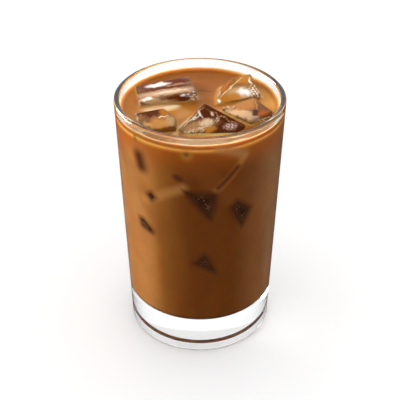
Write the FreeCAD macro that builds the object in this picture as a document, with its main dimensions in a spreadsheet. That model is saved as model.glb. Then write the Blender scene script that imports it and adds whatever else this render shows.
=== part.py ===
"""Iced coffee in a tall tapered glass, with ice floating at the top. Millimetres, +Z up.

The origin is the middle of the ring that the glass stands on. The glass is turned about +Z,
the coffee fills it up to its level, and the floating ice is cut out of the coffee.
"""
import FreeCAD, Part
import os

import Sketcher

App = FreeCAD
SHEET = "Sizes"

# Driving sizes of the glass and of the coffee in it.
GLASS_SIZES = {
    "glass_height": 134.0,
    "rim_radius": 42.5,
    "foot_radius": 37.7,
    "rim_wall": 2.9,
    "foot_wall": 3.4,
    "base_thickness": 20.2,
    "rim_round": 1.3,
    "heel_round": 1.5,
    "floor_round": 2.5,
    "dish_radius": 26.5,
    "dish_depth": 0.3,
    "coffee_gap": 6.2,
    "ice_layout_radius": 39.35,
}

# Each floating piece of ice: its top face is a worn rectangle with a back edge, a front edge
# and a length between them, and skew slides the two edges apart. The piece narrows or widens
# to a rectangular underside. East and north place the middle of the top face, rise is its
# height over the coffee, and yaw, pitch and roll turn it. The pieces are laid out for a
# surface of ice_layout_radius, and grow or shrink together with the coffee's real surface.
ICE_SIZES = {
    "ice_back_left": {
        "back_edge": 26.4, "front_edge": 27.6, "length": 19.6, "skew": 0.4,
        "under_width": 28.0, "under_length": 18.0, "depth": 22.0, "edge_round": 1.5,
        "east": -18.1, "north": 11.6, "rise": 3.7, "yaw": 12.6, "pitch": -4.9, "roll": -2.6,
    },
    "ice_front_left": {
        "back_edge": 21.0, "front_edge": 12.2, "length": 18.2, "skew": -0.7,
        "under_width": 18.0, "under_length": 16.0, "depth": 20.0, "edge_round": 1.8,
        "east": -21.2, "north": -18.4, "rise": 3.2, "yaw": 5.3, "pitch": -9.3, "roll": 1.4,
    },
    "ice_middle": {
        "back_edge": 26.8, "front_edge": 21.0, "length": 21.4, "skew": 0.7,
        "under_width": 18.0, "under_length": 16.0, "depth": 20.0, "edge_round": 1.8,
        "east": 5.6, "north": -23.4, "rise": 1.0, "yaw": -36.1, "pitch": 9.5, "roll": 12.2,
    },
    "ice_back_right": {
        "back_edge": 18.4, "front_edge": 23.6, "length": 17.6, "skew": 1.7,
        "under_width": 21.0, "under_length": 14.0, "depth": 19.0, "edge_round": 1.8,
        "east": 18.2, "north": 12.3, "rise": 2.8, "yaw": 15.1, "pitch": -6.1, "roll": 10.7,
    },
    "ice_right": {
        "back_edge": 22.4, "front_edge": 11.2, "length": 18.6, "skew": -1.1,
        "under_width": 16.0, "under_length": 14.0, "depth": 19.0, "edge_round": 1.5,
        "east": 23.6, "north": -7.7, "rise": 2.8, "yaw": 32.1, "pitch": -3.8, "roll": -5.5,
    },
}


def make_sheet(doc):
    """The spreadsheet of driving sizes, one named cell each."""
    sheet = doc.addObject("Spreadsheet::Sheet", SHEET)
    sizes = dict(GLASS_SIZES)
    for piece, values in ICE_SIZES.items():
        for name, value in values.items():
            sizes[piece + "_" + name] = value
    for row, (alias, value) in enumerate(sizes.items(), start=1):
        sheet.set("A%d" % row, alias)
        sheet.set("B%d" % row, str(value))
        sheet.setAlias("B%d" % row, alias)
    doc.recompute()
    return sheet


def cell(alias):
    """The formula that reads one named size."""
    return SHEET + "." + alias


# Formulas worked out from the driving sizes, shared by the pieces that fit each other.
FLOOR_RADIUS = "(%s + (%s - %s) * %s / %s - %s)" % tuple(
    cell(a) for a in ("foot_radius", "rim_radius", "foot_radius", "base_thickness",
                      "glass_height", "foot_wall"))
BORE_RADIUS = "(%s - %s)" % (cell("rim_radius"), cell("rim_wall"))
COFFEE_LEVEL = "(%s - %s)" % (cell("glass_height"), cell("coffee_gap"))
COFFEE_RADIUS = "(%s + (%s - %s) * (%s - %s) / (%s - %s))" % (
    FLOOR_RADIUS, BORE_RADIUS, FLOOR_RADIUS, COFFEE_LEVEL, cell("base_thickness"),
    cell("glass_height"), cell("base_thickness"))
ICE_SPREAD = "(%s / %s)" % (COFFEE_RADIUS, cell("ice_layout_radius"))


def number(formula_owner, formula):
    """The present value of a formula over the sheet, as a plain number."""
    return float(formula_owner.evalExpression(formula))


def origin_plane(body, role):
    """One of a body's own origin planes."""
    return next(f for f in body.Origin.OriginFeatures if f.Role == role)


def new_sketch(body, name, role):
    """A sketch on one of the body's own origin planes."""
    sketch = body.newObject("Sketcher::SketchObject", name)
    sketch.AttachmentSupport = [(origin_plane(body, role), "")]
    sketch.MapMode = "FlatFace"
    return sketch


def bind_point(sketch, line, name, across, up):
    """Ties the start of a line to two formulas; "0" puts it on the sketch's own axis."""
    for kind, axis, formula in (("DistanceX", -2, across), ("DistanceY", -1, up)):
        if formula == "0":
            sketch.addConstraint(Sketcher.Constraint("PointOnObject", line, 1, axis))
            continue
        value = number(sketch, formula)
        index = sketch.addConstraint(Sketcher.Constraint(kind, -1, 1, line, 1, value))
        label = name + ("_across" if kind == "DistanceX" else "_up")
        sketch.renameConstraint(index, label)
        sketch.setExpression("Constraints." + label, formula)


def draw_outline(sketch, corners):
    """A closed outline of straight edges through (name, across, up) corners."""
    places = [App.Vector(number(sketch, across), number(sketch, up), 0)
              for _, across, up in corners]
    count = len(corners)
    for i in range(count):
        sketch.addGeometry(Part.LineSegment(places[i], places[(i + 1) % count]))
    for i in range(count):
        sketch.addConstraint(Sketcher.Constraint("Coincident", i, 2, (i + 1) % count, 1))
    for i, (name, across, up) in enumerate(corners):
        bind_point(sketch, i, name, across, up)


def turn(body, name, sketch, kind="PartDesign::Revolution"):
    """Turns a sketch all the way round its upright axis."""
    feature = body.newObject(kind, name)
    feature.Profile = sketch
    feature.ReferenceAxis = (sketch, ["V_Axis"])
    feature.Angle = 360
    sketch.Visibility = False
    return feature


def ring_edges(feature, radius, height):
    """Names of the round edges about +Z with that radius and height."""
    near = 1e-4
    names = []
    for i, edge in enumerate(feature.Shape.Edges, start=1):
        if not isinstance(edge.Curve, Part.Circle):
            continue
        circle = edge.Curve
        if abs(circle.Radius - radius) < near and abs(circle.Center.z - height) < near:
            names.append("Edge%d" % i)
    return names


def round_ring(body, base, name, radius, height, size):
    """Rounds one turned edge; radius and height are formulas, size is a cell's name."""
    body.Document.recompute()
    edges = ring_edges(base, number(body, radius), number(body, height))
    if not edges:
        raise ValueError("no edge to round for " + name)
    fillet = body.newObject("PartDesign::Fillet", name)
    fillet.Base = (base, edges)
    fillet.setExpression("Radius", cell(size))
    return fillet


def make_glass(doc):
    """The tumbler: a straight taper, a thick clear base and a fire-polished rim."""
    body = doc.addObject("PartDesign::Body", "Glass")
    body.Label = "glass"
    height = cell("glass_height")
    profile = new_sketch(body, "GlassProfile", "XZ_Plane")
    draw_outline(profile, [
        ("foot_middle", "0", "0"),
        ("foot_edge", cell("foot_radius"), "0"),
        ("rim_outside", cell("rim_radius"), height),
        ("rim_inside", BORE_RADIUS, height),
        ("floor_edge", FLOOR_RADIUS, cell("base_thickness")),
        ("floor_middle", "0", cell("base_thickness")),
    ])
    blank = turn(body, "GlassTurn", profile)
    floor = round_ring(body, blank, "FloorRound", FLOOR_RADIUS, cell("base_thickness"),
                       "floor_round")
    heel = round_ring(body, floor, "HeelRound", cell("foot_radius"), "0", "heel_round")
    outer = round_ring(body, heel, "RimOuterRound", cell("rim_radius"), height, "rim_round")
    round_ring(body, outer, "RimInnerRound", BORE_RADIUS, height, "rim_round")
    add_foot_dish(body)
    return body


def add_foot_dish(body):
    """Hollows the underside by a shallow bowl, so that the glass stands on a ring."""
    dish = new_sketch(body, "DishProfile", "XZ_Plane")
    wide = number(dish, cell("dish_radius"))
    deep = number(dish, cell("dish_depth"))
    bowl_radius = (wide * wide + deep * deep) / (2 * deep)
    across = App.Vector(1, 0, 0)
    foot = App.Vector(0, 0, 0)
    edge = App.Vector(wide, 0, 0)
    top = App.Vector(0, deep, 0)
    middle = App.Vector(0, deep - bowl_radius, 0)
    circle = Part.Circle(middle, App.Vector(0, 0, 1), bowl_radius)
    start, end = across.getAngle(edge - middle), across.getAngle(top - middle)
    dish.addGeometry(Part.ArcOfCircle(circle, start, end))
    dish.addGeometry(Part.LineSegment(top, foot))
    dish.addGeometry(Part.LineSegment(foot, edge))
    for line, point, next_line in ((0, 2, 1), (1, 2, 2), (2, 2, 0)):
        dish.addConstraint(Sketcher.Constraint("Coincident", line, point, next_line, 1))
    dish.addConstraint(Sketcher.Constraint("PointOnObject", 0, 3, -2))
    bind_point(dish, 1, "dish_top", "0", cell("dish_depth"))
    bind_point(dish, 2, "dish_foot", "0", "0")
    bind_point(dish, 0, "dish_edge", cell("dish_radius"), "0")
    return turn(body, "FootDish", dish, "PartDesign::Groove")


def make_coffee_fill(doc):
    """The coffee before the ice is cut out of it: it meets the glass from floor to level."""
    body = doc.addObject("PartDesign::Body", "CoffeeFill")
    profile = new_sketch(body, "CoffeeProfile", "XZ_Plane")
    draw_outline(profile, [
        ("floor_middle", "0", cell("base_thickness")),
        ("floor_edge", FLOOR_RADIUS, cell("base_thickness")),
        ("level_edge", COFFEE_RADIUS, COFFEE_LEVEL),
        ("level_middle", "0", COFFEE_LEVEL),
    ])
    blank = turn(body, "CoffeeTurn", profile)
    round_ring(body, blank, "CoffeeFloorRound", FLOOR_RADIUS, cell("base_thickness"),
               "floor_round")
    return body


def make_ice(doc, node):
    """One piece of ice: a loft from its worn top face to its underside, with soft edges."""
    def size(name):
        return "(%s * %s)" % (cell(node + "_" + name), ICE_SPREAD)

    body = doc.addObject("PartDesign::Body", node + "_body")
    body.Label = node
    top = new_sketch(body, node + "_top", "XY_Plane")
    half_length = size("length") + " / 2"
    draw_outline(top, [
        ("front_left", "-%s / 2 - %s" % (size("front_edge"), size("skew")), "-" + half_length),
        ("front_right", "%s / 2 - %s" % (size("front_edge"), size("skew")), "-" + half_length),
        ("back_right", "%s / 2 + %s" % (size("back_edge"), size("skew")), half_length),
        ("back_left", "-%s / 2 + %s" % (size("back_edge"), size("skew")), half_length),
    ])
    under = new_sketch(body, node + "_under", "XY_Plane")
    under.setExpression("AttachmentOffset.Base.z", "-" + size("depth"))
    half_width = size("under_width") + " / 2"
    half_under = size("under_length") + " / 2"
    draw_outline(under, [
        ("front_left", "-" + half_width, "-" + half_under),
        ("front_right", half_width, "-" + half_under),
        ("back_right", half_width, half_under),
        ("back_left", "-" + half_width, half_under),
    ])
    block = body.newObject("PartDesign::AdditiveLoft", node + "_block")
    block.Profile = top
    block.Sections = [under]
    block.Ruled = True
    doc.recompute()
    worn = body.newObject("PartDesign::Fillet", node + "_worn")
    worn.Base = (block, ["Edge%d" % (i + 1) for i in range(len(block.Shape.Edges))])
    worn.setExpression("Radius", cell(node + "_edge_round"))
    body.setExpression("Placement.Base.x", size("east"))
    body.setExpression("Placement.Base.y", size("north"))
    body.setExpression("Placement.Base.z", "%s + %s" % (COFFEE_LEVEL, size("rise")))
    for angle in ("yaw", "pitch", "roll"):
        turned = "Placement.Rotation." + angle.capitalize()
        body.setExpression(turned, cell(node + "_" + angle))
    return body


def cut_coffee(doc, fill, ice):
    """The coffee as it stands round the floating ice."""
    floating = doc.addObject("Part::MultiFuse", "FloatingIce")
    floating.Shapes = ice
    coffee = doc.addObject("Part::Cut", "Coffee")
    coffee.Base = fill
    coffee.Tool = floating
    coffee.Label = "coffee"
    return coffee


def check_document(doc, nodes):
    """Stops if any object failed or any piece has no whole shape."""
    for item in doc.Objects:
        if "Invalid" in item.State or "Error" in item.State:
            raise RuntimeError("%s failed: %s" % (item.Name, item.State))
    for node in nodes:
        if node.Shape.isNull() or not node.Shape.isValid():
            raise RuntimeError(node.Label + " has no valid shape")
        if len(node.Shape.Solids) != 1:
            raise RuntimeError("%s is %d solids" % (node.Label, len(node.Shape.Solids)))


def main():
    doc = App.newDocument("IcedCoffee")
    make_sheet(doc)
    glass = make_glass(doc)
    ice = [make_ice(doc, node) for node in ICE_SIZES]
    coffee = cut_coffee(doc, make_coffee_fill(doc), ice)
    doc.recompute()
    nodes = [glass, coffee] + ice
    check_document(doc, nodes)
    os.makedirs("parts", exist_ok=True)
    for node in nodes:
        node.Shape.exportStep("parts/%s.step" % node.Label)
        print("%-16s volume %9.1f mm3" % (node.Label, node.Shape.Volume))


main()
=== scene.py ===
"""Iced coffee in a tall clear tumbler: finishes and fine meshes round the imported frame.

Units are metres; sizes given in millimetres are multiplied by MM. +Z is up, -Y is the front.
"""
from __future__ import annotations

import logging
import math
from dataclasses import dataclass, field
from typing import Sequence

import bmesh
import bpy
import numpy as np
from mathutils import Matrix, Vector

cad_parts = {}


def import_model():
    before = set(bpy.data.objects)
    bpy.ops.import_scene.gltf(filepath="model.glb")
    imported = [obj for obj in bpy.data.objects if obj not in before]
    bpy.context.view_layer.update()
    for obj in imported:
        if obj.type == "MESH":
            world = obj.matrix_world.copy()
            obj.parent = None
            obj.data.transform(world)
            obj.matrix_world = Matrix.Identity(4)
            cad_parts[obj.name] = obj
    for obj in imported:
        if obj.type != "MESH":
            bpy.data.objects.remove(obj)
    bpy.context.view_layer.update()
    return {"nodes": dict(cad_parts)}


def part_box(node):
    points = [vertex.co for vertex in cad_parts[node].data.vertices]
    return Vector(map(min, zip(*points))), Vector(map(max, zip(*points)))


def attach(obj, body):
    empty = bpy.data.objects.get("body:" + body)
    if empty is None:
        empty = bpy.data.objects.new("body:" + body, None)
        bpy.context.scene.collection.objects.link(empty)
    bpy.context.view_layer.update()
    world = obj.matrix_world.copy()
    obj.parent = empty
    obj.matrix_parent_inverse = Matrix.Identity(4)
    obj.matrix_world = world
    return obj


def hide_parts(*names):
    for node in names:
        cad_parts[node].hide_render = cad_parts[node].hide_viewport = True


MM = 0.001
BODY = "root"
TINT = "tint"      # attribute that holds the coffee's colour at each point, with painted light and shade laid into it
FROST_AND_PAINTED_LIGHT = "frost_and_painted_light"    # attribute that holds the ice's colour layer, with its thickness as alpha: trapped air, painted highlights and painted shade
LOG = logging.getLogger("iced_coffee")


# --------------------------------------------------------------------------- colours, nodes


def linear(colour: str) -> tuple[float, float, float, float]:
    """Turns an sRGB hex colour into linear light.

    Args:
        colour: six hex digits after a hash.

    Returns:
        Linear red, green, blue and an alpha of one.
    """
    parts = np.array([int(colour[i:i + 2], 16) for i in (1, 3, 5)]) / 255.0
    light = np.where(parts <= 0.04045, parts / 12.92, ((parts + 0.055) / 1.055) ** 2.4)
    return (*light.tolist(), 1.0)


def add_node(tree: bpy.types.NodeTree, kind: str, links: dict | None = None,
             values: dict | None = None, **settings) -> bpy.types.Node:
    """Adds one node, with its settings, socket values and incoming links.

    Args:
        tree: the node tree.
        kind: the node's type name.
        links: input socket name or index to the output socket that feeds it.
        values: input socket name or index to its plain value.
        settings: attributes set on the node itself.

    Returns:
        The new node.
    """
    node = tree.nodes.new(kind)
    for name, value in settings.items():
        setattr(node, name, value)
    for socket, value in (values or {}).items():
        node.inputs[socket].default_value = value
    for socket, output in (links or {}).items():
        tree.links.new(output, node.inputs[socket])
    return node


def new_material(name: str) -> tuple[bpy.types.Material, bpy.types.NodeTree]:
    """An empty node material and its tree."""
    material = bpy.data.materials.new(name)
    material.use_nodes = True
    material.node_tree.nodes.clear()
    return material, material.node_tree


def finish_surface(tree: bpy.types.NodeTree, shader: bpy.types.NodeSocket) -> None:
    """Links a shader to a new material output."""
    add_node(tree, "ShaderNodeOutputMaterial", {"Surface": shader})


# --------------------------------------------------------------------------- finishes


@dataclass(frozen=True)
class SodaLimeGlass:
    """Pressed soda-lime glass, fire-polished: clear, with a very slight grey-green depth."""

    name: str = "soda_lime_glass"
    colour: str = "#FAFBFB"
    ior: float = 1.5
    roughness: float = 0.0

    def make(self) -> bpy.types.Material:
        """A single clear transmissive shader, so that it exports as glass."""
        material, tree = new_material(self.name)
        shader = add_node(tree, "ShaderNodeBsdfPrincipled", values={
            "Base Color": linear(self.colour),
            "Roughness": self.roughness,
            "IOR": self.ior,
            "Transmission Weight": 1.0,
        })
        finish_surface(tree, shader.outputs[0])
        return material


@dataclass(frozen=True)
class MilkyCoffee:
    """Brewed coffee with milk: fat droplets scatter light, so it glows warm at thin edges.

    The colour of each spot comes from the piece's own tint attribute, which also holds painted
    light and shade. Where it wets glass, light in the glass that strikes it beyond about 63
    degrees is wholly reflected.
    """

    name: str
    roughness: float
    ior: float
    wets_glass: bool = False
    gloss: float = 0.12
    scatter: float = 1.0
    scatter_mm: float = 5.0
    scatter_reach: tuple[float, float, float] = (1.0, 0.35, 0.12)
    mirror: float = 0.98

    def make(self) -> bpy.types.Material:
        """Principled with subsurface scattering under a fine, faint froth pattern."""
        material, tree = new_material(self.name)
        tint = add_node(tree, "ShaderNodeVertexColor", layer_name=TINT)
        place = add_node(tree, "ShaderNodeTexCoord")
        cloud = add_node(tree, "ShaderNodeTexNoise", {"Vector": place.outputs["Object"]},
                         {"Scale": 90.0, "Detail": 3.0, "Roughness": 0.5})
        level = add_node(tree, "ShaderNodeMapRange", {"Value": cloud.outputs[0]},
                         {"From Min": 0.3, "From Max": 0.7, "To Min": 0.93, "To Max": 1.07})
        frothy = add_node(tree, "ShaderNodeVectorMath",
                          {0: tint.outputs["Color"], "Scale": level.outputs[0]},
                          operation="SCALE")
        shader = add_node(tree, "ShaderNodeBsdfPrincipled", {"Base Color": frothy.outputs[0]}, {
            "Roughness": self.roughness,
            "IOR": max(self.ior, 1.0),
            "Subsurface Weight": self.scatter,
            "Subsurface Radius": self.scatter_reach,
            "Subsurface Scale": self.scatter_mm * MM,
            "Specular IOR Level": self.gloss,
        })
        if not self.wets_glass:
            finish_surface(tree, shader.outputs[0])
            return material
        shader.inputs["Specular IOR Level"].default_value = 0.0
        grazing = add_node(tree, "ShaderNodeFresnel", values={"IOR": self.ior})
        mirror = add_node(tree, "ShaderNodeBsdfGlossy", values={
            "Color": (self.mirror, self.mirror, self.mirror, 1.0), "Roughness": 0.0})
        wetted = add_node(tree, "ShaderNodeMixShader", {
            "Fac": grazing.outputs[0], 1: shader.outputs[0], 2: mirror.outputs[0]})
        finish_surface(tree, wetted.outputs[0])
        return material


@dataclass(frozen=True)
class ClearIce:
    """Frozen water, wet: clear, with clouded trapped air, bubbles and coffee behind it.

    The ice's colour attribute holds each spot's colour, and its alpha how thick it is: trapped
    air, painted highlights, and painted shade where coffee is seen deep through the ice.
    """

    name: str = "clear_ice"
    ior: float = 1.31
    gloss: float = 0.06
    ripple_mm: float = 3.5

    def make(self) -> bpy.types.Material:
        """Clear ice mixed with a soft layer of colour (trapped air, painted highlights and
        painted shade), both under the same wet gloss.
        """
        material, tree = new_material(self.name)
        place = add_node(tree, "ShaderNodeTexCoord")
        wave = add_node(tree, "ShaderNodeTexNoise", {"Vector": place.outputs["Object"]},
                        {"Scale": 1.0 / (self.ripple_mm * MM), "Detail": 2.0})
        bump = add_node(tree, "ShaderNodeBump", {"Height": wave.outputs[0]},
                        {"Strength": 0.3, "Distance": 0.5 * MM})
        clear = add_node(tree, "ShaderNodeBsdfPrincipled", {"Normal": bump.outputs[0]}, {
            "Base Color": (1.0, 1.0, 1.0, 1.0),
            "Roughness": 0.02,
            "IOR": self.ior,
            "Transmission Weight": 1.0,
        })
        frost_and_painted_light = add_node(tree, "ShaderNodeVertexColor", layer_name=FROST_AND_PAINTED_LIGHT)
        colour_layer = add_node(tree, "ShaderNodeBsdfPrincipled", {
            "Normal": bump.outputs[0], "Base Color": frost_and_painted_light.outputs["Color"]}, {
            "Roughness": 0.12,
            "IOR": self.ior,
            "Specular IOR Level": self.gloss,
        })
        mixed = add_node(tree, "ShaderNodeMixShader", {
            "Fac": frost_and_painted_light.outputs["Alpha"], 1: clear.outputs[0], 2: colour_layer.outputs[0]})
        finish_surface(tree, mixed.outputs[0])
        return material


@dataclass(frozen=True)
class FoamSkin:
    """Milk foam bubble: a wet film, cream coloured and partly clear."""

    name: str = "milk_foam"
    colour: str = "#F3DDBC"
    shade: str = "#C08A50"
    ior: float = 1.33
    clear: float = 0.25

    def make(self) -> bpy.types.Material:
        """Glossy, half-clear cream."""
        material, tree = new_material(self.name)
        place = add_node(tree, "ShaderNodeTexCoord")
        mottle = add_node(tree, "ShaderNodeTexNoise", {"Vector": place.outputs["Object"]},
                          {"Scale": 400.0, "Detail": 1.0})
        tone = add_node(tree, "ShaderNodeMix", {"Factor": mottle.outputs[0]},
                        data_type="RGBA")
        tone.inputs["A"].default_value = linear(self.shade)
        tone.inputs["B"].default_value = linear(self.colour)
        shader = add_node(tree, "ShaderNodeBsdfPrincipled", {
            "Base Color": tone.outputs["Result"]}, {
            "Roughness": 0.05,
            "IOR": self.ior,
            "Transmission Weight": self.clear,
        })
        finish_surface(tree, shader.outputs[0])
        return material


@dataclass(frozen=True)
class PaleBoard:
    """Matt white board under the glass.

    Its mirror image in a polished wall is dimmed, as a polarising filter does near the
    angle where glass reflects only one polarisation.
    """

    name: str = "pale_board"
    colour: str = "#F8F8F8"
    mirrored: float = 0.05

    def make(self) -> bpy.types.Material:
        """Plain matt white."""
        material, tree = new_material(self.name)
        shader = add_node(tree, "ShaderNodeBsdfPrincipled", values={
            "Base Color": linear(self.colour), "Roughness": 0.9, "Specular IOR Level": 0.1})
        dark = add_node(tree, "ShaderNodeBsdfDiffuse", values={"Color": (0.0, 0.0, 0.0, 1.0)})
        path = add_node(tree, "ShaderNodeLightPath")
        mirror = add_node(tree, "ShaderNodeMath", {0: path.outputs["Is Glossy Ray"],
                                                   1: path.outputs["Is Reflection Ray"]},
                          operation="MULTIPLY")
        share = add_node(tree, "ShaderNodeMath", {0: mirror.outputs[0]},
                         {1: 1.0 - self.mirrored}, operation="MULTIPLY")
        mixed = add_node(tree, "ShaderNodeMixShader", {
            "Fac": share.outputs[0], 1: shader.outputs[0], 2: dark.outputs[0]})
        finish_surface(tree, mixed.outputs[0])
        return material


# --------------------------------------------------------------------------- mesh helpers


def mesh_object(name: str, points: np.ndarray, faces: np.ndarray | list,
                smooth: bool = True) -> bpy.types.Object:
    """Makes a linked object from points and faces.

    Args:
        name: the object's and the mesh's name.
        points: places of the points, in any array whose last axis is x, y, z.
        faces: the points of each face.
        smooth: whether it is shaded smooth.

    Returns:
        The new object.
    """
    mesh = bpy.data.meshes.new(name)
    mesh.from_pydata(points.reshape(-1, 3), [], faces if isinstance(faces, list)
                     else faces.tolist())
    if smooth:
        mesh.shade_smooth()
    else:
        mesh.shade_flat()
    piece = bpy.data.objects.new(name, mesh)
    bpy.context.scene.collection.objects.link(piece)
    return piece


def mesh_points(mesh: bpy.types.Mesh) -> np.ndarray:
    """A mesh's points as an (n, 3) array."""
    flat = np.empty(len(mesh.vertices) * 3)
    mesh.vertices.foreach_get("co", flat)
    return flat.reshape(-1, 3)


def set_colours(mesh: bpy.types.Mesh, name: str, values: np.ndarray) -> None:
    """Stores one colour with its alpha, a row of four, for each point."""
    layer = mesh.attributes.new(name, "FLOAT_COLOR", "POINT")
    layer.data.foreach_set("color", values.astype("f4").ravel())


def lay(under: str | np.ndarray, over: str | np.ndarray, share: np.ndarray) -> np.ndarray:
    """Lays one colour over another: under + (over - under) * share.

    Args:
        under: the lower colour, as hex or as a row of linear light for each point.
        over: the upper colour, given in the same way.
        share: how much of the upper colour shows at each point, from 0 to 1.

    Returns:
        A row of linear light for each point.
    """
    low = np.array(linear(under)[:3]) if isinstance(under, str) else under
    high = np.array(linear(over)[:3]) if isinstance(over, str) else over
    return low + (high - low) * share[:, None]


def ease(start: float | np.ndarray, end: float | np.ndarray, value: np.ndarray) -> np.ndarray:
    """Smooth step: 0 before start, 1 after end, 3 t^2 - 2 t^3 between them."""
    t = np.clip((value - start) / (end - start), 0, 1)
    return t * t * (3 - 2 * t)


def heading(azimuth: float, elevation: float) -> np.ndarray:
    """Unit direction: azimuth in degrees from the front towards the right, then up."""
    a, e = math.radians(azimuth), math.radians(elevation)
    return np.array([math.sin(a) * math.cos(e), -math.cos(a) * math.cos(e), math.sin(e)])


def revolve_faces(rings: int, around: int) -> list[list[int]]:
    """Faces of a closed surface of revolution.

    Points run ring by ring, then the first pole and the last pole. Quads join ring i to
    ring i + 1, and triangles close both ends.

    Args:
        rings: number of rings.
        around: points on each ring.

    Returns:
        The points of each face.
    """
    ring = np.arange(around)
    step = (ring + 1) % around
    rows = np.arange(rings - 1)[:, None] * around
    quads = np.stack([rows + ring, rows + step, rows + around + step, rows + around + ring],
                     axis=-1).reshape(-1, 4)
    first, last = rings * around, rings * around + 1
    top = (rings - 1) * around
    cap_a = np.stack([np.full(around, first), step, ring], axis=-1)
    cap_b = np.stack([np.full(around, last), top + ring, top + step], axis=-1)
    return quads.tolist() + cap_a.tolist() + cap_b.tolist()


def soften(corners: Sequence[tuple[float, float, float]], steps: int = 9) -> np.ndarray:
    """A profile whose corners are rounded by arcs tangent to both sides.

    Each corner is (across, up, radius). The arc's centre lies on the corner's bisector, its
    tangent points lie radius / tan(half the inner angle) from the corner, and support points
    close to each end of a straight keep its shading flat.

    Args:
        corners: corners in order, the ends with no radius.
        steps: points on each arc.

    Returns:
        An (n, 2) array of points.
    """
    places = np.array([c[:2] for c in corners], float)
    path: list[np.ndarray] = [places[:1]]
    for i in range(1, len(corners) - 1):
        radius = corners[i][2]
        if radius <= 0.0:
            path.append(places[i:i + 1])
            continue
        back, ahead = places[i - 1] - places[i], places[i + 1] - places[i]
        back, ahead = back / np.linalg.norm(back), ahead / np.linalg.norm(ahead)
        half = math.acos(np.clip(back @ ahead, -1, 1)) / 2
        reach = radius / math.tan(half)
        middle = places[i] + (back + ahead) / np.linalg.norm(back + ahead) * (
            radius / math.sin(half))
        start, end = places[i] + back * reach - middle, places[i] + ahead * reach - middle
        turn = math.pi - 2 * half
        t = np.linspace(0, 1, steps)[:, None]
        arc = (np.sin((1 - t) * turn) * start + np.sin(t * turn) * end) / math.sin(turn)
        path.append(middle + arc)
    path.append(places[-1:])
    joined = [path[0]]
    near = np.array([0.015, 0.05, 0.15, 0.3, 0.5, 0.7, 0.85, 0.95, 0.985])[:, None]
    for part in path[1:]:
        start, end = joined[-1][-1], part[0]
        if np.linalg.norm(end - start) > 2 * MM:
            joined.append(start + (end - start) * near)
        joined.append(part)
    return np.concatenate(joined)


# --------------------------------------------------------------------------- the tumbler


@dataclass
class Tumbler:
    """Pressed tumbler: a straight taper with a thick base, rounded heel and dished foot."""

    low: Vector
    high: Vector
    foot_radius: float = 37.7 * MM
    rim_wall: float = 2.9 * MM
    foot_wall: float = 3.4 * MM
    base: float = 20.2 * MM
    rim_round: float = 1.3 * MM
    heel_round: float = 1.5 * MM
    floor_round: float = 2.5 * MM
    dish_radius: float = 26.5 * MM
    dish_flat: float = 22.5 * MM
    dish_depth: float = 0.3 * MM
    dish_round: float = 12.0 * MM
    around: int = 240
    height: float = field(init=False)
    rim_radius: float = field(init=False)

    def __post_init__(self) -> None:
        """Reads the height and the rim from the frame's box."""
        self.height = self.high.z - self.low.z
        self.rim_radius = round((self.high.x - self.low.x) / 2 / MM, 1) * MM

    @property
    def floor_radius(self) -> float:
        """Radius where the inner wall would meet the floor."""
        spread = (self.rim_radius - self.foot_radius) * self.base / self.height
        return self.foot_radius + spread - self.foot_wall

    def bore(self, up: float | np.ndarray) -> float | np.ndarray:
        """Inner radius at a height: a straight line from the floor's edge to the rim's."""
        slope = (self.rim_radius - self.rim_wall - self.floor_radius) / (self.height - self.base)
        return self.floor_radius + (up - self.base) * slope

    def profile(self) -> np.ndarray:
        """The section from the middle of the foot, round the wall, to the middle of the floor."""
        return soften([
            (0.0, self.dish_depth, 0.0),
            (self.dish_flat, self.dish_depth, self.dish_round),
            (self.dish_radius, 0.0, self.dish_round),
            (self.foot_radius, 0.0, self.heel_round),
            (self.rim_radius, self.height, self.rim_round),
            (self.rim_radius - self.rim_wall, self.height, self.rim_round),
            (self.floor_radius, self.base, self.floor_round),
            (0.0, self.base, 0.0),
        ])

    def build(self) -> bpy.types.Object:
        """Turns the section about +Z: x = r cos a, y = r sin a, with both poles closed."""
        section = self.profile()
        rings = section[1:-1]
        angle = np.linspace(0, 2 * np.pi, self.around, endpoint=False)
        points = np.stack([rings[:, :1] * np.cos(angle), rings[:, :1] * np.sin(angle),
                           np.repeat(rings[:, 1:], self.around, axis=1)], axis=-1)
        poles = np.array([[0, 0, section[0, 1]], [0, 0, section[-1, 1]]])
        points = np.concatenate([points.reshape(-1, 3), poles])
        return mesh_object("tumbler", points, revolve_faces(len(rings), self.around))

    def dress(self, piece: bpy.types.Object) -> None:
        """Clear glass, in place of the plain glass node."""
        piece.data.materials.append(SodaLimeGlass().make())
        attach(piece, BODY)
        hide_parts("glass")


# --------------------------------------------------------------------------- ice


@dataclass(frozen=True)
class ColourSpot:
    """A soft spot in or on ice, in millimetres on a plane that leans back from the front.
    Among them are trapped air, painted highlights and painted shade; on the open top of the
    coffee, laid out flat, also foam, painted shade and painted reflections.

    across runs to the right and up runs up and back; the spot is an ellipse turned
    anticlockwise by turn degrees. speckle is the share of it that is broken into dots.
    """

    across: float
    up: float
    long: float
    wide: float
    turn: float
    colour: str
    thick: float = 0.85
    speckle: float = 0.0

    def weight(self, across: np.ndarray, up: np.ndarray, dots: np.ndarray) -> np.ndarray:
        """1 inside the ellipse, easing to 0 at its edge, less the gaps between dots.

        Args:
            across: places to the right, in millimetres.
            up: places up the leaning plane, in millimetres.
            dots: the dot pattern there, from about -1 to 1.

        Returns:
            How thick the spot is at each place, from 0 to 1.
        """
        c, s = math.cos(math.radians(self.turn)), math.sin(math.radians(self.turn))
        x, y = across - self.across, up - self.up
        far = np.hypot((x * c + y * s) / self.long, (y * c - x * s) / self.wide)
        broken = 1 - self.speckle + self.speckle * 2.2 * ease(0.0, 0.45, dots)
        return ease(1.3, 0.45, far) * np.clip(broken, 0, 1) * self.thick


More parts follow.
